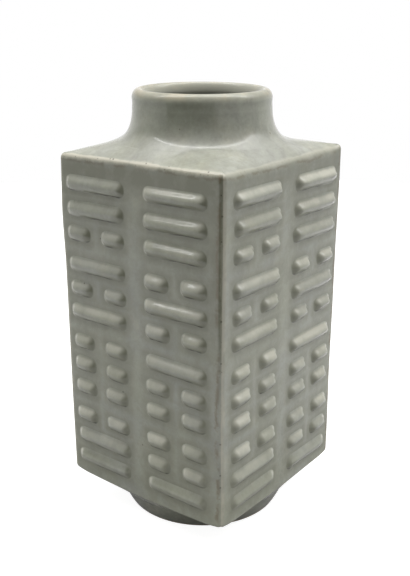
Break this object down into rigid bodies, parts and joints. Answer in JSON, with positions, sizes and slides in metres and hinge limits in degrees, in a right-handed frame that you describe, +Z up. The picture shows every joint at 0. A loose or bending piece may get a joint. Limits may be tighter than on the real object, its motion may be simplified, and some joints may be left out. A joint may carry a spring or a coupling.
{
  "type": "cong vase",
  "caption": "Square slab-built celadon vase with a round neck and foot, and the eight trigrams applied to every wall as raised bars.",
  "frame": {"origin": "centre of the foot ring on the ground that it stands on", "axes": "+Z up the vase's axis, -Y out of the front wall, +X out of the right wall"},
  "size_m": [0.1338, 0.1338, 0.28],
  "materials": {
    "celadon_glaze": "grey-green celadon glaze, glossy, thin and buff along the arrises",
    "relief_glaze": "the same glaze, paler over the crown of each bar and pooled round its foot",
    "foot_glaze": "the same glaze, wiped off the standing edge down to the fired body",
    "seam_clay": "thinly glazed fired clay"
  },
  "bodies": {
    "root": {"front_wall": "celadon_glaze", "right_wall": "celadon_glaze", "back_wall": "celadon_glaze", "left_wall": "celadon_glaze", "shoulder": "celadon_glaze", "neck": "celadon_glaze", "base": "celadon_glaze", "foot_ring": "foot_glaze", "front_right_seam_coil": "seam_clay", "back_right_seam_coil": "seam_clay", "back_left_seam_coil": "seam_clay", "front_left_seam_coil": "seam_clay", "front_trigram_wind": "relief_glaze", "front_trigram_fire": "relief_glaze", "front_trigram_earth": "relief_glaze", "front_trigram_lake": "relief_glaze", "front_trigram_heaven": "relief_glaze", "front_trigram_water": "relief_glaze", "front_trigram_mountain": "relief_glaze", "front_trigram_thunder": "relief_glaze", "right_trigram_wind": "relief_glaze", "right_trigram_fire": "relief_glaze", "right_trigram_earth": "relief_glaze", "right_trigram_lake": "relief_glaze", "right_trigram_heaven": "relief_glaze", "right_trigram_water": "relief_glaze", "right_trigram_mountain": "relief_glaze", "right_trigram_thunder": "relief_glaze", "back_trigram_wind": "relief_glaze", "back_trigram_fire": "relief_glaze", "back_trigram_earth": "relief_glaze", "back_trigram_lake": "relief_glaze", "back_trigram_heaven": "relief_glaze", "back_trigram_water": "relief_glaze", "back_trigram_mountain": "relief_glaze", "back_trigram_thunder": "relief_glaze", "left_trigram_wind": "relief_glaze", "left_trigram_fire": "relief_glaze", "left_trigram_earth": "relief_glaze", "left_trigram_lake": "relief_glaze", "left_trigram_heaven": "relief_glaze", "left_trigram_water": "relief_glaze", "left_trigram_mountain": "relief_glaze", "left_trigram_thunder": "relief_glaze"}
  },
  "joints": []
}
